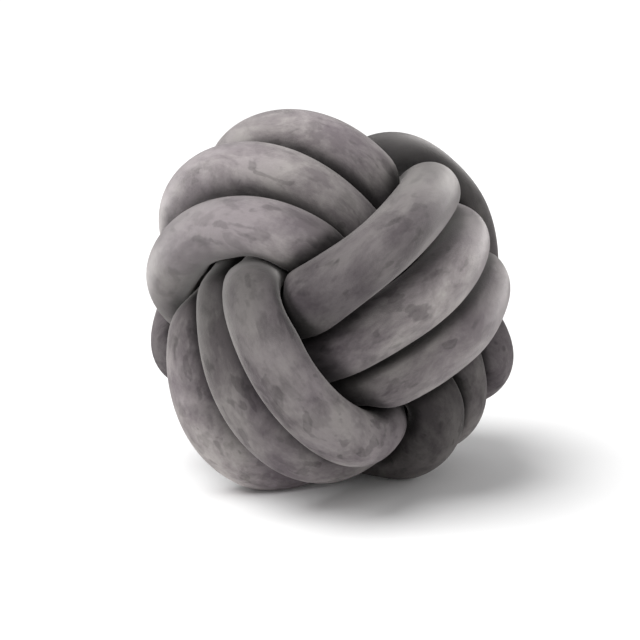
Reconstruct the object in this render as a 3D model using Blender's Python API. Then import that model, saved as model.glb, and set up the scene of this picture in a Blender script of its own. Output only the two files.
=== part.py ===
"""A knotted ball cushion: one stuffed velvet tube, tied in a ball knot, with both ends tucked inside.

Units are metres, with +Z up. The cushion's front faces -Y and it stands on Z = 0.

The knot has three bands at right angles. A band wraps the ball three times, in three lanes that lie
side by side. It passes over two opposite faces of the ball and tucks under the next band on the two
faces between. The tube makes the first band, then the second, then the third.
"""

import math

import bmesh
import bpy
import numpy as np
from mathutils import Euler

MM = 0.001

# The stuffed tube
TUBE_RADIUS = 21 * MM
FATTEST_RADIUS = 28 * MM  # where its neighbours squeeze it from two sides
END_ROUNDING = 15 * MM
END_OPENING = 0.2  # width of the flat at each gathered end, as a share of the tube's
WALL_CLEARANCE = 1.4 * MM  # from a strand to the middle of the wall that it shares with its neighbour
BEND_SHARE = 0.7  # the inner side of a tight bend stops at this share of the way to its middle
CORNER_SHARPNESS = 12  # how closely a squeezed section follows its walls
PUFF_LENGTH = 50 * MM  # the stretch of tube over which its fullness evens out

# The ball knot, measured from its centre to the middle of the tube
LANES = {
    "middle": {"over": 129 * MM, "under": 86 * MM, "turn": math.radians(46), "sharpness": 2.0},
    "outer": {"over": 122 * MM, "under": 62 * MM, "turn": math.radians(54), "sharpness": 2.8},
}
LANE_PITCH = {"over": 45 * MM, "under": 31 * MM}
LANE_CHANGES = (1.5, 3.5)  # in half turns, hidden under the next band
LANE_CHANGE_LENGTH = 0.44

# One row for each pass over a face: how far this hand-tied knot strays there from an even one, in mm.
# Slide, lean and bow are sideways: the whole pass, one end against the other, and both ends.
# Lift and tip are outwards: the whole pass, and one end against the other.
PASS_COLUMNS = ("slide", "lean", "bow", "lift", "tip")
# One row for each tuck under the next band, from the one before the first pass, in mm.
TUCK_COLUMNS = ("slide", "lift")
PASS_FALLOFF = 1.2
TUCK_FALLOFF = 2.4

BANDS = (
    {
        "over": (0, 0, 1),
        "under": (0, -1, 0),
        "lanes_along": (-1, 0, 0),
        "starts": -0.40,
        "ends": 5.14,
        "passes": (
            (-35, 5, 30, 0, -25),
            (0, 5, 5, 0, -10),
            (-25, -10, 10, -2, 5),
            (0, 0, 5, 0, 0),
            (-5, 10, -35, 0, 25),
            (-7, 0, 0, 5, 0),
        ),
        "tucks": ((10, -15), (0, -10), (-2, -10), (-2, 5), (8, -20), (-8, 6), (0, 0)),
    },
    {
        "over": (0, 1, 0),
        "under": (1, 0, 0),
        "lanes_along": (0, 0, 1),
        "starts": -0.25,
        "ends": 5.14,
        "passes": (
            (6, -6, 0, 3, 0),
            (-5, 0, 10, 15, 0),
            (10, -20, 12, 3, -5),
            (0, 0, -5, 10, 5),
            (15, -15, 8, -8, 25),
            (-5, 5, -15, 3, -5),
        ),
        "tucks": ((0, 0), (2, -20), (-7, 10), (4, -12), (5, 10), (3, -8), (-3, 0)),
    },
    {
        "over": (-1, 0, 0),
        "under": (0, 0, -1),
        "lanes_along": (0, 1, 0),
        "starts": -0.25,
        "ends": 5.40,
        "passes": (
            (5, 0, 0, 5, 0),
            (10, 15, 20, -10, 5),
            (0, 10, -5, 5, 0),
            (8, 10, 0, -10, 0),
            (-10, 30, -10, 10, -5),
            (15, 15, 5, 5, 15),
        ),
        "tucks": ((0, 0), (-15, -8), (-2, -8), (-17, 10), (10, -5), (-36, -7), (0, -18)),
    },
)
BAND_JOINER_PULL = 60 * MM
EASING_LENGTH = 60 * MM  # the stretch of tube over which its bends are evened out

# Each end of the tube curls round inside the ball and fills it. Radius, height and angle, in half
# turns, run from the knot to the tube's tip.
CURLS = {
    "first": {
        "middle": (-23 * MM, 5 * MM),
        "radius": (32 * MM, 32 * MM),
        "height": (26 * MM, 34 * MM),
        "turns": (-0.25, -1.08),
    },
    "last": {
        "middle": (-29 * MM, 7 * MM),
        "radius": (34 * MM, 37 * MM),
        "height": (-38 * MM, -24 * MM),
        "turns": (0.95, 2.60),
    },
}
CURL_JOINER_PULL = 90 * MM

# How the ball lies, and the flat that its weight presses on its underside
RESTING_TURN = Euler((math.radians(126.5), math.radians(-10), math.radians(-46.5)))
FLAT_DEPTH = 6 * MM

# The mesh
SIDES = 14
RINGS = 420
STEPS_PER_HALF_TURN = 180
JOINER_STEPS = 60
WALL_SAMPLES_PER_RING = 4
OWN_STRETCH = 57 * MM  # how far along the tube its own neighbouring rings are no wall
NEIGHBOUR_REACH = 85 * MM
SIDEWAYS = 1e-9  # a spoke that points along a wall or away from it never meets it
SWELLING_STEPS = 12

VELVET_COLOUR = (0.26, 0.24, 0.24, 1.0)
VELVET_ROUGHNESS = 0.9


def smooth_step(value):
    """Rises from 0 to 1 with level ends."""
    value = np.clip(value, 0.0, 1.0)
    return value * value * (3.0 - 2.0 * value)


def mix(start, end, share):
    return start + (end - start) * share


def lane_at(turn):
    """Lane of a band, from -1 to 1, after this many half turns."""
    lane = np.full_like(turn, -1.0)
    for place in LANE_CHANGES:
        lane += smooth_step((turn - place) / LANE_CHANGE_LENGTH + 0.5)
    return lane


def hump(angle, falloff):
    """1 at angle 0, and 0 from a quarter turn away."""
    return np.where(np.abs(angle) < math.pi / 2, np.clip(np.cos(angle), 0.0, 1.0) ** falloff, 0.0)


def band_points(band, turn):
    """Middle of the tube along one band. turn counts half turns from the middle of its first pass."""
    angle = math.pi * turn
    lane = lane_at(turn)
    middle, outer = LANES["middle"], LANES["outer"]
    shape = {name: mix(middle[name], outer[name], lane**2) for name in middle}
    rise = np.abs(np.cos(angle)) ** shape["sharpness"]
    dive = (np.abs(np.sin(angle)) / np.tan(shape["turn"])) ** shape["sharpness"]
    over_share = rise / (rise + dive)
    reach = mix(shape["under"], shape["over"], over_share)
    side = lane * mix(LANE_PITCH["under"], LANE_PITCH["over"], over_share)
    for number, row in enumerate(band["passes"]):
        stray = dict(zip(PASS_COLUMNS, np.array(row) * MM))
        across = angle - math.pi * number
        weight = hump(across, PASS_FALLOFF)
        along = np.sin(across)
        side += weight * (stray["slide"] + stray["lean"] * along + stray["bow"] * along**2)
        reach += weight * (stray["lift"] + stray["tip"] * along)
    for number, row in enumerate(band["tucks"]):
        stray = dict(zip(TUCK_COLUMNS, np.array(row) * MM))
        weight = hump(angle - math.pi * (number - 0.5), TUCK_FALLOFF)
        side += weight * stray["slide"]
        reach += weight * stray["lift"]
    return (
        np.outer(reach * np.cos(angle), band["over"])
        + np.outer(reach * np.sin(angle), band["under"])
        + np.outer(side, band["lanes_along"])
    )


def band_run(band):
    steps = round((band["ends"] - band["starts"]) * STEPS_PER_HALF_TURN)
    return band_points(band, np.linspace(band["starts"], band["ends"], steps))


def curl(shape):
    """An end of the tube, curled round inside the ball, from the knot to its tip."""
    angle = math.pi * np.linspace(*shape["turns"], STEPS_PER_HALF_TURN)
    radius = np.linspace(*shape["radius"], STEPS_PER_HALF_TURN)
    height = np.linspace(*shape["height"], STEPS_PER_HALF_TURN)
    across, forward = shape["middle"]
    return np.column_stack((across + radius * np.cos(angle), height, forward + radius * np.sin(angle)))


def joiner(before, after, pull):
    """A smooth curve from the end of one run of points to the start of the next."""
    t = np.linspace(0.0, 1.0, JOINER_STEPS)[1:-1, None]
    leaving = before[-1] - before[-2]
    arriving = after[1] - after[0]
    leaving *= pull / np.linalg.norm(leaving)
    arriving *= pull / np.linalg.norm(arriving)
    return (
        (2 * t**3 - 3 * t**2 + 1) * before[-1]
        + (t**3 - 2 * t**2 + t) * leaving
        + (3 * t**2 - 2 * t**3) * after[0]
        + (t**3 - t**2) * arriving
    )


def centreline():
    """The middle of the whole tube, from end to end, as the cushion lies."""
    first, second, third = (band_run(band) for band in BANDS)
    start = curl(CURLS["first"])[::-1]
    end = curl(CURLS["last"])
    points = np.concatenate(
        (
            start,
            joiner(start, first, CURL_JOINER_PULL),
            first,
            joiner(first, second, BAND_JOINER_PULL),
            second,
            joiner(second, third, BAND_JOINER_PULL),
            third,
            joiner(third, end, CURL_JOINER_PULL),
            end,
        )
    )
    return eased(points) @ np.array(RESTING_TURN.to_matrix()).T


def even_weights(reach):
    """Weights of a soft running average over this many points to each side."""
    weights = np.hanning(2 * reach + 3)[1:-1]
    return weights / weights.sum()


def eased(points):
    """Rounds off the small kinks of a stuffed tube's middle line."""
    points, length = evenly_spaced(points, RINGS * WALL_SAMPLES_PER_RING)
    reach = round(EASING_LENGTH / 2 / (length / len(points)))
    weights = even_weights(reach)
    padded = np.pad(points, ((reach, reach), (0, 0)), mode="edge")
    return np.column_stack([np.convolve(column, weights, mode="valid") for column in padded.T])


def evenly_spaced(points, count):
    along = np.concatenate(([0.0], np.cumsum(np.linalg.norm(np.diff(points, axis=0), axis=1))))
    places = np.linspace(0.0, along[-1], count)
    return np.column_stack([np.interp(places, along, column) for column in points.T]), along[-1]


def ring_frames(points):
    """For each ring, the directions from its centre to its corners, carried along without twist."""
    tangents = np.gradient(points, axis=0)
    tangents /= np.linalg.norm(tangents, axis=1)[:, None]
    angles = 2 * math.pi * np.arange(SIDES) / SIDES
    across = np.cross(tangents[0], (0.0, 0.0, 1.0))
    spokes = []
    for tangent in tangents:
        across = across - tangent * (across @ tangent)
        across /= np.linalg.norm(across)
        beside = np.cross(tangent, across)
        spokes.append(np.outer(np.cos(angles), across) + np.outer(np.sin(angles), beside))
    return np.array(spokes)


def wall_distances(points, spokes, length):
    """How far each spoke may reach before the wall half way to another strand."""
    samples, _ = evenly_spaced(points, RINGS * WALL_SAMPLES_PER_RING)
    places = np.linspace(0.0, length, len(samples))
    ring_places = np.linspace(0.0, length, RINGS)
    walls = np.empty((RINGS, SIDES))
    for ring, (centre, directions) in enumerate(zip(points, spokes)):
        offsets = samples - centre
        squares = (offsets**2).sum(axis=1)
        others = (np.abs(places - ring_places[ring]) > OWN_STRETCH) & (squares < NEIGHBOUR_REACH**2)
        reaches = np.maximum(directions @ offsets[others].T, SIDEWAYS)
        walls[ring] = (squares[others] / (2 * reaches)).min(axis=1, initial=NEIGHBOUR_REACH)
    return np.minimum(walls - WALL_CLEARANCE, bend_distances(points, spokes, length))


def bend_distances(points, spokes, length):
    """How far each spoke may reach on the inner side of the tube's own bends."""
    spacing = length / (RINGS - 1)
    bends = np.gradient(np.gradient(points, spacing, axis=0), spacing, axis=0)
    inwards = np.einsum("rsi,ri->rs", spokes, bends)
    return BEND_SHARE / np.maximum(inwards, BEND_SHARE / NEIGHBOUR_REACH)


def squeezed(free_radius, walls):
    """A round section of this radius, pressed against its walls with soft corners."""
    return (free_radius**-CORNER_SHARPNESS + walls**-CORNER_SHARPNESS) ** (-1.0 / CORNER_SHARPNESS)


def section_radii(walls, length):
    """The free part of each ring swells until the squeezed section has the tube's own area."""
    full_area = math.pi * TUBE_RADIUS**2
    low = np.full((RINGS, 1), TUBE_RADIUS)
    high = np.full((RINGS, 1), FATTEST_RADIUS)
    for _ in range(SWELLING_STEPS):
        middle = (low + high) / 2
        area = math.pi * (squeezed(middle, walls) ** 2).mean(axis=1, keepdims=True)
        low = np.where(area < full_area, middle, low)
        high = np.where(area < full_area, high, middle)
    reach = round(PUFF_LENGTH / 2 / (length / RINGS))
    fullness = np.convolve(np.pad(low[:, 0], reach, mode="edge"), even_weights(reach), mode="valid")
    return squeezed(fullness[:, None], walls) * end_rounding(length)


def end_rounding(length):
    """Draws both ends of the tube in to a rounded cap."""
    place = np.linspace(0.0, length, RINGS)
    from_end = np.minimum(place, length - place) / END_ROUNDING
    drawn_in = 1.0 - np.clip(from_end, 0.0, 1.0)
    return np.sqrt(1.0 - (1.0 - END_OPENING**2) * drawn_in**2)[:, None]


def pressed_flat(corners):
    """Sets the cushion down over the origin, with its underside flattened where it rests."""
    low, high = corners.min(axis=(0, 1)), corners.max(axis=(0, 1))
    corners = corners - ((low[0] + high[0]) / 2, (low[1] + high[1]) / 2, low[2] + FLAT_DEPTH)
    corners[..., 2] = np.maximum(corners[..., 2], 0.0)
    return corners


def tube_corners():
    points, length = evenly_spaced(centreline(), RINGS)
    spokes = ring_frames(points)
    radii = section_radii(wall_distances(points, spokes, length), length)
    return pressed_flat(points[:, None] + radii[..., None] * spokes)


def tube_mesh(name, corners):
    """Joins the rings into one closed skin, with a cap at each end."""
    bm = bmesh.new()
    rings = [[bm.verts.new(corner) for corner in ring] for ring in corners]
    for ring, following in zip(rings, rings[1:]):
        for side in range(SIDES):
            beside = (side + 1) % SIDES
            bm.faces.new((ring[side], ring[beside], following[beside], following[side]))
    bm.faces.new(reversed(rings[0]))
    bm.faces.new(rings[-1])
    for face in bm.faces:
        face.smooth = True
    mesh = bpy.data.meshes.new(name)
    bm.to_mesh(mesh)
    bm.free()
    return mesh


def velvet():
    material = bpy.data.materials.new("velvet")
    material.use_nodes = True
    shader = material.node_tree.nodes["Principled BSDF"]
    shader.inputs["Base Color"].default_value = VELVET_COLOUR
    shader.inputs["Roughness"].default_value = VELVET_ROUGHNESS
    return material


def main():
    for obj in list(bpy.data.objects):
        bpy.data.objects.remove(obj)
    tube = bpy.data.objects.new("knotted_tube", tube_mesh("knotted_tube", tube_corners()))
    tube.data.materials.append(velvet())
    bpy.context.scene.collection.objects.link(tube)


main()
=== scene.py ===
"""The looks of the knotted ball cushion: one stuffed velvet tube, tied in a ball knot.

The fine skin of the tube follows the same route and squeezed sections as its solid. Cloth blows it
up by a fraction of a millimetre, and the velvet's nap follows the length of the tube.
"""

import math

import bmesh
import bpy
import numpy as np
from mathutils import Euler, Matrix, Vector


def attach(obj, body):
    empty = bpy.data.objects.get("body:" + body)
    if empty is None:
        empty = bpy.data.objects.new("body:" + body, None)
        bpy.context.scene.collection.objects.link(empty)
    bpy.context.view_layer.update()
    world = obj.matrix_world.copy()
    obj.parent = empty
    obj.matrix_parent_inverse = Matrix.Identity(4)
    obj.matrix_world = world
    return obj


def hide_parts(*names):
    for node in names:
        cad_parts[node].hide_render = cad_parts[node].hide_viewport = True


MM = 0.001

# The stuffed tube
TUBE_RADIUS = 21 * MM
FATTEST_RADIUS = 28 * MM  # where its neighbours squeeze it from two sides
END_ROUNDING = 15 * MM
END_OPENING = 0.2  # width of the flat at each gathered end, as a share of the tube's
WALL_CLEARANCE = 1.4 * MM  # from a strand to the middle of the wall that it shares with its neighbour
BEND_SHARE = 0.7  # the inner side of a tight bend stops at this share of the way to its middle
CORNER_SHARPNESS = 12  # how closely a squeezed section follows its walls
PUFF_LENGTH = 50 * MM  # the stretch of tube over which its fullness evens out

# The ball knot, measured from its centre to the middle of the tube
LANES = {
    "middle": {"over": 129 * MM, "under": 86 * MM, "turn": math.radians(46), "sharpness": 2.0},
    "outer": {"over": 122 * MM, "under": 62 * MM, "turn": math.radians(54), "sharpness": 2.8},
}
LANE_PITCH = {"over": 45 * MM, "under": 31 * MM}
LANE_CHANGES = (1.5, 3.5)  # in half turns, hidden under the next band
LANE_CHANGE_LENGTH = 0.44

# One row for each pass over a face: how far this hand-tied knot strays there from an even one, in mm.
# The passes began as a fit to the strand edges in the photo, rounded and then changed.
# Slide, lean and bow are sideways: the whole pass, one end against the other, and both ends.
# Lift and tip are outwards: the whole pass, and one end against the other.
PASS_COLUMNS = ("slide", "lean", "bow", "lift", "tip")
# One row for each tuck under the next band, from the one before the first pass, in mm. Most of the
# tucks are as a search for free room inside the ball found them.
TUCK_COLUMNS = ("slide", "lift")
PASS_FALLOFF = 1.2
TUCK_FALLOFF = 2.4

BANDS = (
    {
        "over": (0, 0, 1),
        "under": (0, -1, 0),
        "lanes_along": (-1, 0, 0),
        "starts": -0.40,
        "ends": 5.14,
        "passes": (
            (-35, 5, 30, 0, -25),
            (0, 5, 5, 0, -10),
            (-25, -10, 10, -2, 5),
            (0, 0, 5, 0, 0),
            (-5, 10, -35, 0, 25),
            (-7, 0, 0, 5, 0),
        ),
        "tucks": ((10, -15), (0, -10), (-2, -10), (-2, 5), (8, -20), (-8, 6), (0, 0)),
    },
    {
        "over": (0, 1, 0),
        "under": (1, 0, 0),
        "lanes_along": (0, 0, 1),
        "starts": -0.25,
        "ends": 5.14,
        "passes": (
            (6, -6, 0, 3, 0),
            (-5, 0, 10, 15, 0),
            (10, -20, 12, 3, -5),
            (0, 0, -5, 10, 5),
            (15, -15, 8, -8, 25),
            (-5, 5, -15, 3, -5),
        ),
        "tucks": ((0, 0), (2, -20), (-7, 10), (4, -12), (5, 10), (3, -8), (-3, 0)),
    },
    {
        "over": (-1, 0, 0),
        "under": (0, 0, -1),
        "lanes_along": (0, 1, 0),
        "starts": -0.25,
        "ends": 5.40,
        "passes": (
            (5, 0, 0, 5, 0),
            (10, 15, 20, -10, 5),
            (0, 10, -5, 5, 0),
            (8, 10, 0, -10, 0),
            (-10, 30, -10, 10, -5),
            (15, 15, 5, 5, 15),
        ),
        "tucks": ((0, 0), (-15, -8), (-2, -8), (-17, 10), (10, -5), (-36, -7), (0, -18)),
    },
)
BAND_JOINER_PULL = 60 * MM
EASING_LENGTH = 60 * MM  # the stretch of tube over which its bends are evened out

# Each end of the tube curls round inside the ball and fills it. Radius, height and angle, in half
# turns, run from the knot to the tube's tip. The same search for free room found these values.
CURLS = {
    "first": {
        "middle": (-23 * MM, 5 * MM),
        "radius": (32 * MM, 32 * MM),
        "height": (26 * MM, 34 * MM),
        "turns": (-0.25, -1.08),
    },
    "last": {
        "middle": (-29 * MM, 7 * MM),
        "radius": (34 * MM, 37 * MM),
        "height": (-38 * MM, -24 * MM),
        "turns": (0.95, 2.60),
    },
}
CURL_JOINER_PULL = 90 * MM

# How the ball lies, and the flat that its weight presses on its underside
RESTING_TURN = Euler((math.radians(126.5), math.radians(-10), math.radians(-46.5)))
FLAT_DEPTH = 6 * MM

# The fine skin, and how its cover is blown up
SIDES = 28
RINGS = 840
STEPS_PER_HALF_TURN = 180
JOINER_STEPS = 60
WALL_SAMPLES_PER_RING = 2
OWN_STRETCH = 57 * MM  # how far along the tube its own neighbouring rings are no wall
NEIGHBOUR_REACH = 85 * MM
SIDEWAYS = 1e-9  # a spoke that points along a wall or away from it never meets it
SWELLING_STEPS = 12
SLACK = 0.2 * MM  # the cover starts this much inside its filled shape
AIR_PRESSURE = 4.0
CLOTH_QUALITY = 5
BLOWING_FRAMES = 20
FURTHEST_MOVE = 0.8 * MM  # so that two strands never touch
LEAST_MOVE = FURTHEST_MOVE / 100  # keeps a point that hasn't moved out of a division by nothing

# The camera: a long lens, a little above the middle of the ball
PHOTO_WIDTH = 640
KNOT_MIDDLE = Vector((-0.4, 7.1, 139.6)) * MM
KNOT_MIDDLE_IN_PHOTO = (330.0, 300.1)
CAMERA_DISTANCE = 935 * MM
CAMERA_RISE = math.radians(8)
FOCAL_LENGTH_IN_PIXELS = 1230.0
SENSOR_WIDTH = 36.0

# The velvet
PILE_ROUGHNESS = 0.85
PILE_SHINE = 0.1
SHEEN = 0.5
SHEEN_ROUGHNESS = 0.35
SHEEN_TINT = (1.0, 0.96, 0.94, 1.0)
DARK_PATCH = (0.146, 0.13, 0.137, 1.0)
PALE_PATCH = (0.26, 0.242, 0.242, 1.0)
MAUVE_TINT = (0.9, 0.862, 0.892, 1.0)
BEIGE_TINT = (1.11, 1.105, 1.075, 1.0)
PATCH_SHIFT = 1.0  # slides the patches along the tube
PATCH_STRETCH = 0.7  # below 1 draws the patches out along the tube
COMB_STRETCH = 0.5  # and the combed strokes
PILE_LEAN = -0.4  # how far the pile leans along the tube, here towards its first end
PILE_DEPTH = 0.4 * MM
# Painted shade: the velvet is painted darker towards the middle of the knot, in the grooves, and paler
# on the crowns
DEEPEST = 112 * MM  # from the middle of the knot to the bottoms of the grooves that show
CROWN = 165 * MM  # and to the crowns of the strands
PAINTED_SHADE_IN_GROOVES = 0.3
PAINTED_LIGHT_ON_CROWNS = 1.15
PAINTED_CREASE_SHADE = 0.25  # painted shade in the creases, where a strand comes near its neighbour
CREASE_START = 0.72  # how near a strand's neighbour is there, from 0 to 1

# How much paler or darker the velvet is along the tube: metres from its first end, and the shade
# there. It is partly the tone of the nap on each stretch and partly painted light and shade, where
# strands lie in shadow or catch the light. The shades were worked out from the ratio of the photo's
# brightness to the render's.
NAP_TONE_AND_PAINTED_LIGHT = (
    (0.20, 0.3),
    (0.30, 0.8),
    (0.42, 1.5),
    (0.66, 0.2),
    (0.90, 0.4),
    (1.00, 1.1),
    (1.10, 1.6),
    (1.56, 1.0),
    (1.75, 2.0),
    (2.30, 1.6),
    (2.45, 1.0),
    (2.60, 0.8),
    (2.94, 1.8),
    (3.06, 1.5),
    (3.30, 0.8),
    (3.66, 1.4),
    (3.78, 1.2),
    (4.02, 0.5),
    (4.60, 2.0),
    (4.74, 1.3),
    (5.22, 2.1),
    (5.36, 2.1),
    (5.56, 0.7),
    (5.94, 1.1),
    (6.16, 0.5),
)

# The studio
FLOOR_SIZE = 40
PAPER_COLOUR = (0.9, 0.9, 0.9, 1.0)
ROOM_LIGHT = 0.5  # on the ball and the floor
ROOM_BRIGHTNESS = 1.1  # as the camera sees it


def smooth_step(value):
    """Rises from 0 to 1 with level ends."""
    value = np.clip(value, 0.0, 1.0)
    return value * value * (3.0 - 2.0 * value)


def mix(start, end, share):
    return start + (end - start) * share


def lane_at(turn):
    """Lane of a band, from -1 to 1, after this many half turns."""
    lane = np.full_like(turn, -1.0)
    for place in LANE_CHANGES:
        lane += smooth_step((turn - place) / LANE_CHANGE_LENGTH + 0.5)
    return lane


def hump(angle, falloff):
    """1 at angle 0, and 0 from a quarter turn away."""
    return np.where(np.abs(angle) < math.pi / 2, np.clip(np.cos(angle), 0.0, 1.0) ** falloff, 0.0)


def band_points(band, turn):
    """Middle of the tube along one band. turn counts half turns from the middle of its first pass."""
    angle = math.pi * turn
    lane = lane_at(turn)
    middle, outer = LANES["middle"], LANES["outer"]
    shape = {name: mix(middle[name], outer[name], lane**2) for name in middle}
    rise = np.abs(np.cos(angle)) ** shape["sharpness"]
    dive = (np.abs(np.sin(angle)) / np.tan(shape["turn"])) ** shape["sharpness"]
    over_share = rise / (rise + dive)
    reach = mix(shape["under"], shape["over"], over_share)
    side = lane * mix(LANE_PITCH["under"], LANE_PITCH["over"], over_share)
    for number, row in enumerate(band["passes"]):
        stray = dict(zip(PASS_COLUMNS, np.array(row) * MM))
        across = angle - math.pi * number
        weight = hump(across, PASS_FALLOFF)
        along = np.sin(across)
        side += weight * (stray["slide"] + stray["lean"] * along + stray["bow"] * along**2)
        reach += weight * (stray["lift"] + stray["tip"] * along)
    for number, row in enumerate(band["tucks"]):
        stray = dict(zip(TUCK_COLUMNS, np.array(row) * MM))
        weight = hump(angle - math.pi * (number - 0.5), TUCK_FALLOFF)
        side += weight * stray["slide"]
        reach += weight * stray["lift"]
    return (
        np.outer(reach * np.cos(angle), band["over"])
        + np.outer(reach * np.sin(angle), band["under"])
        + np.outer(side, band["lanes_along"])
    )


def band_run(band):
    steps = round((band["ends"] - band["starts"]) * STEPS_PER_HALF_TURN)
    return band_points(band, np.linspace(band["starts"], band["ends"], steps))


def curl(shape):
    """An end of the tube, curled round inside the ball, from the knot to its tip."""
    angle = math.pi * np.linspace(*shape["turns"], STEPS_PER_HALF_TURN)
    radius = np.linspace(*shape["radius"], STEPS_PER_HALF_TURN)
    height = np.linspace(*shape["height"], STEPS_PER_HALF_TURN)
    across, forward = shape["middle"]
    return np.column_stack((across + radius * np.cos(angle), height, forward + radius * np.sin(angle)))


def joiner(before, after, pull):
    """A smooth curve from the end of one run of points to the start of the next."""
    t = np.linspace(0.0, 1.0, JOINER_STEPS)[1:-1, None]
    leaving = before[-1] - before[-2]
    arriving = after[1] - after[0]
    leaving *= pull / np.linalg.norm(leaving)
    arriving *= pull / np.linalg.norm(arriving)
    return (
        (2 * t**3 - 3 * t**2 + 1) * before[-1]
        + (t**3 - 2 * t**2 + t) * leaving
        + (3 * t**2 - 2 * t**3) * after[0]
        + (t**3 - t**2) * arriving
    )


def centreline():
    """The middle of the whole tube, from end to end, as the cushion lies."""
    first, second, third = (band_run(band) for band in BANDS)
    start = curl(CURLS["first"])[::-1]
    end = curl(CURLS["last"])
    points = np.concatenate(
        (
            start,
            joiner(start, first, CURL_JOINER_PULL),
            first,
            joiner(first, second, BAND_JOINER_PULL),
            second,
            joiner(second, third, BAND_JOINER_PULL),
            third,
            joiner(third, end, CURL_JOINER_PULL),
            end,
        )
    )
    return eased(points) @ np.array(RESTING_TURN.to_matrix()).T


def even_weights(reach):
    """Weights of a soft running average over this many points to each side."""
    weights = np.hanning(2 * reach + 3)[1:-1]
    return weights / weights.sum()


def eased(points):
    """Rounds off the small kinks of a stuffed tube's middle line."""
    points, length = evenly_spaced(points, RINGS * WALL_SAMPLES_PER_RING)
    reach = round(EASING_LENGTH / 2 / (length / len(points)))
    weights = even_weights(reach)
    padded = np.pad(points, ((reach, reach), (0, 0)), mode="edge")
    return np.column_stack([np.convolve(column, weights, mode="valid") for column in padded.T])


def evenly_spaced(points, count):
    along = np.concatenate(([0.0], np.cumsum(np.linalg.norm(np.diff(points, axis=0), axis=1))))
    places = np.linspace(0.0, along[-1], count)
    return np.column_stack([np.interp(places, along, column) for column in points.T]), along[-1]


def ring_frames(points):
    """For each ring, the directions from its centre to its corners, carried along without twist."""
    tangents = np.gradient(points, axis=0)
    tangents /= np.linalg.norm(tangents, axis=1)[:, None]
    angles = 2 * math.pi * np.arange(SIDES) / SIDES
    across = np.cross(tangents[0], (0.0, 0.0, 1.0))
    spokes = []
    for tangent in tangents:
        across = across - tangent * (across @ tangent)
        across /= np.linalg.norm(across)
        beside = np.cross(tangent, across)
        spokes.append(np.outer(np.cos(angles), across) + np.outer(np.sin(angles), beside))
    return np.array(spokes)


def wall_distances(points, spokes, length):
    """How far each spoke may reach before the wall half way to another strand."""
    samples, _ = evenly_spaced(points, RINGS * WALL_SAMPLES_PER_RING)
    places = np.linspace(0.0, length, len(samples))
    ring_places = np.linspace(0.0, length, RINGS)
    walls = np.empty((RINGS, SIDES))
    for ring, (centre, directions) in enumerate(zip(points, spokes)):
        offsets = samples - centre
        squares = (offsets**2).sum(axis=1)
        others = (np.abs(places - ring_places[ring]) > OWN_STRETCH) & (squares < NEIGHBOUR_REACH**2)
        reaches = np.maximum(directions @ offsets[others].T, SIDEWAYS)
        walls[ring] = (squares[others] / (2 * reaches)).min(axis=1, initial=NEIGHBOUR_REACH)
    return np.minimum(walls - WALL_CLEARANCE, bend_distances(points, spokes, length))


def bend_distances(points, spokes, length):
    """How far each spoke may reach on the inner side of the tube's own bends."""
    spacing = length / (RINGS - 1)
    bends = np.gradient(np.gradient(points, spacing, axis=0), spacing, axis=0)
    inwards = np.einsum("rsi,ri->rs", spokes, bends)
    return BEND_SHARE / np.maximum(inwards, BEND_SHARE / NEIGHBOUR_REACH)


def squeezed(free_radius, walls):
    """A round section of this radius, pressed against its walls with soft corners."""
    return (free_radius**-CORNER_SHARPNESS + walls**-CORNER_SHARPNESS) ** (-1.0 / CORNER_SHARPNESS)


def section_radii(walls, length):
    """The free part of each ring swells until the squeezed section has the tube's own area."""
    full_area = math.pi * TUBE_RADIUS**2
    low = np.full((RINGS, 1), TUBE_RADIUS)
    high = np.full((RINGS, 1), FATTEST_RADIUS)
    for _ in range(SWELLING_STEPS):
        middle = (low + high) / 2
        area = math.pi * (squeezed(middle, walls) ** 2).mean(axis=1, keepdims=True)
        low = np.where(area < full_area, middle, low)
        high = np.where(area < full_area, high, middle)
    reach = round(PUFF_LENGTH / 2 / (length / RINGS))
    fullness = np.convolve(np.pad(low[:, 0], reach, mode="edge"), even_weights(reach), mode="valid")
    return squeezed(fullness[:, None], walls) * end_rounding(length)


def end_rounding(length):
    """Draws both ends of the tube in to a rounded cap."""
    place = np.linspace(0.0, length, RINGS)
    from_end = np.minimum(place, length - place) / END_ROUNDING
    drawn_in = 1.0 - np.clip(from_end, 0.0, 1.0)
    return np.sqrt(1.0 - (1.0 - END_OPENING**2) * drawn_in**2)[:, None]


def pressed_flat(corners):
    """Sets the cushion down over the origin, with its underside flattened where it rests."""
    low, high = corners.min(axis=(0, 1)), corners.max(axis=(0, 1))
    corners = corners - ((low[0] + high[0]) / 2, (low[1] + high[1]) / 2, low[2] + FLAT_DEPTH)
    corners[..., 2] = np.maximum(corners[..., 2], 0.0)
    return corners


def tube_corners():
    """The corners of every ring, and how near each one comes to the wall beside it, from 0 to 1."""
    points, length = evenly_spaced(centreline(), RINGS)
    spokes = ring_frames(points)
    walls = wall_distances(points, spokes, length)
    radii = section_radii(walls, length)
    return pressed_flat(points[:, None] + radii[..., None] * spokes), radii / walls


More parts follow.
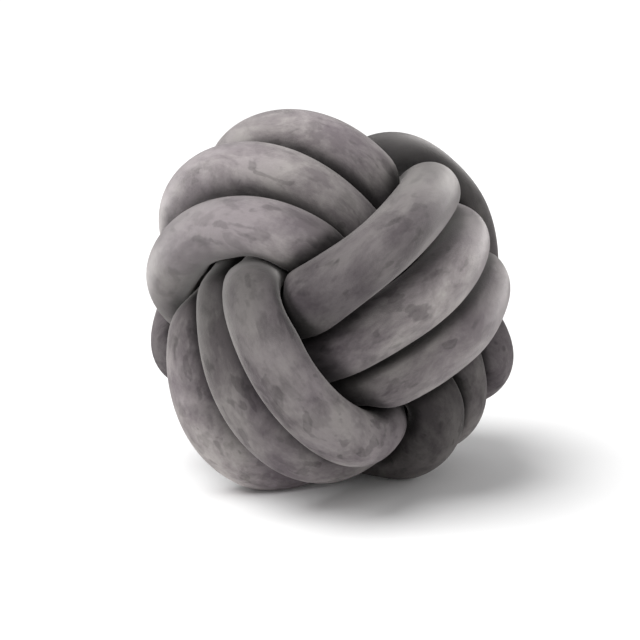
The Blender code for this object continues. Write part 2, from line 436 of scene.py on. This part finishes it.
def tube_skin(name, corners, nearness):
    """The tube's skin in four-sided faces, closed at both ends.

    Its points keep what the velvet follows: their place on the tube pulled straight, the way the tube
    runs, the nap's tone along the tube together with painted light and shade, and how near they come
    to the wall beside them, which sets the painted shade in the creases.
    """
    middles = corners.mean(axis=1)
    steps = np.linalg.norm(np.diff(middles, axis=0), axis=1)
    lengths = np.concatenate(([0.0], np.cumsum(steps)))
    angles = 2 * math.pi * np.arange(SIDES) / SIDES
    bm = bmesh.new()
    straight = bm.verts.layers.float_vector.new("straightened")
    nap = bm.verts.layers.float_vector.new("nap")
    nap_tone_and_painted_light = bm.verts.layers.float.new("nap_tone_and_painted_light")
    tucked = bm.verts.layers.float.new("tucked")
    headings = np.gradient(middles, axis=0)
    headings /= np.linalg.norm(headings, axis=1)[:, None]
    # the nap's tone along the tube, together with painted light and shade
    shades = np.interp(lengths, *zip(*NAP_TONE_AND_PAINTED_LIGHT))
    rings = []
    for ring, near, length, heading, shade in zip(corners, nearness, lengths, headings, shades):
        rings.append([bm.verts.new(corner) for corner in ring])
        for vert, angle, closeness in zip(rings[-1], angles, near):
            vert[straight] = (length, TUBE_RADIUS * math.cos(angle), TUBE_RADIUS * math.sin(angle))
            vert[nap] = heading
            vert[nap_tone_and_painted_light] = shade
            vert[tucked] = closeness
    for ring, following in zip(rings, rings[1:]):
        for side in range(SIDES):
            beside = (side + 1) % SIDES
            bm.faces.new((ring[side], ring[beside], following[beside], following[side]))
    bm.faces.new(reversed(rings[0]))
    bm.faces.new(rings[-1])
    for face in bm.faces:
        face.smooth = True
    mesh = bpy.data.meshes.new(name)
    bm.to_mesh(mesh)
    bm.free()
    skin = bpy.data.objects.new(name, mesh)
    bpy.context.scene.collection.objects.link(skin)
    return skin


def points_of(mesh):
    places = np.empty(len(mesh.vertices) * 3)
    mesh.vertices.foreach_get("co", places)
    return places.reshape(-1, 3)


def blow_up(skin):
    """Blows the cover up like a balloon, and lets no point of it stray far from its filled shape."""
    filled = points_of(skin.data)
    normals = np.empty(len(filled) * 3)
    skin.data.vertices.foreach_get("normal", normals)
    slack = filled - SLACK * normals.reshape(-1, 3)
    skin.data.vertices.foreach_set("co", slack.ravel())
    cover = skin.modifiers.new("cover", "CLOTH")
    cover.settings.quality = CLOTH_QUALITY
    cover.settings.use_pressure = True
    cover.settings.uniform_pressure_force = AIR_PRESSURE
    cover.settings.effector_weights.gravity = 0
    cover.point_cache.frame_end = BLOWING_FRAMES
    for number in range(1, BLOWING_FRAMES + 1):
        bpy.context.scene.frame_set(number)
    apply_modifiers(skin)
    bpy.context.scene.frame_set(1)
    moves = points_of(skin.data) - filled
    lengths = np.linalg.norm(moves, axis=1)[:, None]
    blown = filled + moves * np.minimum(1.0, FURTHEST_MOVE / np.maximum(lengths, LEAST_MOVE))
    blown[:, 2] = np.where(filled[:, 2] > 0.0, np.maximum(blown[:, 2], 0.0), 0.0)
    skin.data.vertices.foreach_set("co", blown.ravel())
    skin.data.update()


def apply_modifiers(obj):
    bpy.ops.object.select_all(action="DESELECT")
    obj.select_set(True)
    bpy.context.view_layer.objects.active = obj
    for modifier in list(obj.modifiers):
        bpy.ops.object.modifier_apply(modifier=modifier.name)


def subdivide(obj):
    rounding = obj.modifiers.new("rounding", "SUBSURF")
    rounding.levels = 1
    rounding.render_levels = 1
    apply_modifiers(obj)


def attribute(tree, name):
    node = tree.nodes.new("ShaderNodeAttribute")
    node.attribute_name = name
    return node


def stretched(tree, place, shift, stretch):
    """The place moved and stretched along the tube."""
    node = tree.nodes.new("ShaderNodeMapping")
    node.inputs["Location"].default_value = (shift, 0.0, 0.0)
    node.inputs["Scale"].default_value = (stretch, 1.0, 1.0)
    tree.links.new(place, node.inputs["Vector"])
    return node.outputs["Vector"]


def noise(tree, place, scale, detail, roughness=0.5, distortion=0.0):
    node = tree.nodes.new("ShaderNodeTexNoise")
    node.inputs["Scale"].default_value = scale
    node.inputs["Detail"].default_value = detail
    node.inputs["Roughness"].default_value = roughness
    node.inputs["Distortion"].default_value = distortion
    tree.links.new(place, node.inputs["Vector"])
    return node.outputs["Fac"]


def colours(tree, value, low, low_colour, high, high_colour):
    """One colour up to the low value, another from the high value on, and a blend between them."""
    node = tree.nodes.new("ShaderNodeValToRGB")
    first, last = node.color_ramp.elements
    first.position = low
    first.color = low_colour
    last.position = high
    last.color = high_colour
    tree.links.new(value, node.inputs["Fac"])
    return node.outputs["Color"]


def graded(tree, value, low, low_shade, high, high_shade, blend="LINEAR"):
    """One shade up to the low value, another from the high value on, and a blend between them."""
    node = tree.nodes.new("ShaderNodeMapRange")
    node.interpolation_type = blend
    node.inputs["From Min"].default_value = low
    node.inputs["From Max"].default_value = high
    node.inputs["To Min"].default_value = low_shade
    node.inputs["To Max"].default_value = high_shade
    tree.links.new(value, node.inputs["Value"])
    return node.outputs["Result"]


def vector_math(tree, operation):
    node = tree.nodes.new("ShaderNodeVectorMath")
    node.operation = operation
    return node


def distance_from(tree, middle):
    place = tree.nodes.new("ShaderNodeTexCoord")
    node = vector_math(tree, "DISTANCE")
    node.inputs[1].default_value = middle
    tree.links.new(place.outputs["Object"], node.inputs[0])
    return node.outputs["Value"]


def patches(tree, place):
    """Mottled patches of paler and darker pile, in slightly mauve and beige greys."""
    mottling = noise(tree, place, scale=34.0, detail=6.0, roughness=0.66, distortion=0.3)
    tones = colours(tree, mottling, 0.4, DARK_PATCH, 0.58, PALE_PATCH)
    sweeps = noise(tree, place, scale=15.0, detail=3.0, distortion=0.4)
    tints = colours(tree, sweeps, 0.42, MAUVE_TINT, 0.58, BEIGE_TINT)
    tinted = vector_math(tree, "MULTIPLY")
    tree.links.new(tones, tinted.inputs[0])
    tree.links.new(tints, tinted.inputs[1])
    return tinted.outputs["Vector"]


def shadings(tree, along_tube, place):
    """The shades that the patches are multiplied by, one after the other: the pile's combed strokes,
    marks and flecks, then painted shade in the grooves, the nap's tone along the tube together with
    painted light and shade, and painted shade in the creases.
    """
    combing = stretched(tree, along_tube, 0.0, COMB_STRETCH)
    strokes = noise(tree, combing, scale=420.0, detail=4.0, roughness=0.7)
    marks = noise(tree, place, scale=90.0, detail=3.0, distortion=0.3)
    flecks = noise(tree, place, scale=85.0, detail=2.5, distortion=0.3)
    height = distance_from(tree, KNOT_MIDDLE)
    nearness = attribute(tree, "tucked").outputs["Fac"]
    return (
        graded(tree, strokes, 0.3, 0.94, 0.7, 1.06),
        graded(tree, marks, 0.56, 1.0, 0.64, 0.8),
        graded(tree, flecks, 0.61, 1.0, 0.65, 0.74),
        # painted shade: darker in the grooves, towards the middle of the knot, paler on the crowns
        graded(tree, height, DEEPEST, PAINTED_SHADE_IN_GROOVES, CROWN, PAINTED_LIGHT_ON_CROWNS),
        # the nap's tone along the tube, together with painted light and shade
        attribute(tree, "nap_tone_and_painted_light").outputs["Fac"],
        # painted shade in the creases, where a strand comes near its neighbour
        graded(tree, nearness, CREASE_START, 1.0, 1.0, PAINTED_CREASE_SHADE, "SMOOTHSTEP"),
    )


def pile_normal(tree, along_tube):
    """The surface of a fine pile that leans along the tube."""
    nap = attribute(tree, "nap")
    surface = tree.nodes.new("ShaderNodeNewGeometry")
    leaning = vector_math(tree, "MULTIPLY_ADD")
    leaning.inputs[1].default_value = (PILE_LEAN, PILE_LEAN, PILE_LEAN)
    tree.links.new(nap.outputs["Vector"], leaning.inputs[0])
    tree.links.new(surface.outputs["Normal"], leaning.inputs[2])
    direction = vector_math(tree, "NORMALIZE")
    tree.links.new(leaning.outputs["Vector"], direction.inputs[0])
    bump = tree.nodes.new("ShaderNodeBump")
    bump.inputs["Strength"].default_value = 0.5
    bump.inputs["Distance"].default_value = PILE_DEPTH
    tree.links.new(noise(tree, along_tube, scale=1400.0, detail=2.0), bump.inputs["Height"])
    tree.links.new(direction.outputs["Vector"], bump.inputs["Normal"])
    return bump.outputs["Normal"]


def velvet():
    """Grey velvet, its pile brushed along the tube, with painted shade: darker in the grooves and
    creases, paler on the crowns.
    """
    material = bpy.data.materials.new("grey_velvet")
    material.use_nodes = True
    tree = material.node_tree
    shader = tree.nodes["Principled BSDF"]
    shader.inputs["Roughness"].default_value = PILE_ROUGHNESS
    shader.inputs["Specular IOR Level"].default_value = PILE_SHINE
    shader.inputs["Sheen Weight"].default_value = SHEEN
    shader.inputs["Sheen Roughness"].default_value = SHEEN_ROUGHNESS
    shader.inputs["Sheen Tint"].default_value = SHEEN_TINT

    along_tube = attribute(tree, "straightened").outputs["Vector"]
    place = stretched(tree, along_tube, PATCH_SHIFT, PATCH_STRETCH)
    colour = patches(tree, place)
    for shade in shadings(tree, along_tube, place):
        shaded = vector_math(tree, "SCALE")
        tree.links.new(colour, shaded.inputs[0])
        tree.links.new(shade, shaded.inputs["Scale"])
        colour = shaded.outputs["Vector"]
    tree.links.new(colour, shader.inputs["Base Color"])
    tree.links.new(pile_normal(tree, along_tube), shader.inputs["Normal"])
    return material


def add_camera():
    """The photo's view, a little from above, with the ball a little off the middle of the picture."""
    camera = bpy.data.cameras.new("photo_view")
    camera.sensor_width = SENSOR_WIDTH
    camera.lens = FOCAL_LENGTH_IN_PIXELS / PHOTO_WIDTH * SENSOR_WIDTH
    camera.shift_x = 0.5 - KNOT_MIDDLE_IN_PHOTO[0] / PHOTO_WIDTH
    camera.shift_y = KNOT_MIDDLE_IN_PHOTO[1] / PHOTO_WIDTH - 0.5
    viewer = bpy.data.objects.new("photo_view", camera)
    bpy.context.scene.collection.objects.link(viewer)
    towards_camera = Vector((0, -math.cos(CAMERA_RISE), math.sin(CAMERA_RISE)))
    viewer.location = KNOT_MIDDLE + CAMERA_DISTANCE * towards_camera
    viewer.rotation_euler = (math.pi / 2 - CAMERA_RISE, 0, 0)
    bpy.context.scene.camera = viewer


def add_sun(name, direction, softness, strength):
    """A distant light that shines along this direction, as wide in the sky as softness, in degrees."""
    light = bpy.data.lights.new(name, "SUN")
    light.angle = math.radians(softness)
    light.energy = strength
    sun = bpy.data.objects.new(name, light)
    bpy.context.scene.collection.objects.link(sun)
    sun.rotation_euler = Vector(direction).to_track_quat("-Z", "Y").to_euler()


def add_studio():
    """A white studio: pale paper under the ball, two soft lights and a white room around it."""
    bpy.ops.object.select_all(action="DESELECT")
    bpy.ops.mesh.primitive_plane_add(size=FLOOR_SIZE)
    floor = bpy.context.object
    floor.name = "floor"
    paper = bpy.data.materials.new("pale_paper")
    paper.use_nodes = True
    shader = paper.node_tree.nodes["Principled BSDF"]
    shader.inputs["Base Color"].default_value = PAPER_COLOUR
    shader.inputs["Roughness"].default_value = 1.0
    shader.inputs["Specular IOR Level"].default_value = 0.0
    floor.data.materials.append(paper)

    world = bpy.data.worlds.new("studio")
    world.use_nodes = True
    nodes, links = world.node_tree.nodes, world.node_tree.links
    room = nodes["Background"]
    room.inputs["Color"].default_value = (1.0, 1.0, 1.0, 1.0)
    rays = nodes.new("ShaderNodeLightPath")
    strength = nodes.new("ShaderNodeMapRange")
    strength.inputs["To Min"].default_value = ROOM_LIGHT
    strength.inputs["To Max"].default_value = ROOM_BRIGHTNESS
    links.new(rays.outputs["Is Camera Ray"], strength.inputs["Value"])
    links.new(strength.outputs["Result"], room.inputs["Strength"])
    bpy.context.scene.world = world

    add_sun("key", direction=(0.5, 0.35, -1.0), softness=40, strength=3.1)
    add_sun("fill", direction=(-1.0, 0.2, -0.2), softness=60, strength=0.7)
    bpy.context.scene.view_settings.view_transform = "Standard"


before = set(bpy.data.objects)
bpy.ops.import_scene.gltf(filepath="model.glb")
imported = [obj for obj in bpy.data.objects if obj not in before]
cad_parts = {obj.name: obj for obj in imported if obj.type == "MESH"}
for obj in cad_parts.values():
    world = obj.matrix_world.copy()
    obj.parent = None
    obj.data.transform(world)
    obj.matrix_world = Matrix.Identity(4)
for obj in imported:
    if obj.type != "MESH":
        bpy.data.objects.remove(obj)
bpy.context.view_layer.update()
tube = tube_skin("velvet_tube", *tube_corners())
blow_up(tube)
subdivide(tube)
tube.data.materials.append(velvet())
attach(tube, "root")
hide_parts("knotted_tube")
add_camera()
add_studio()
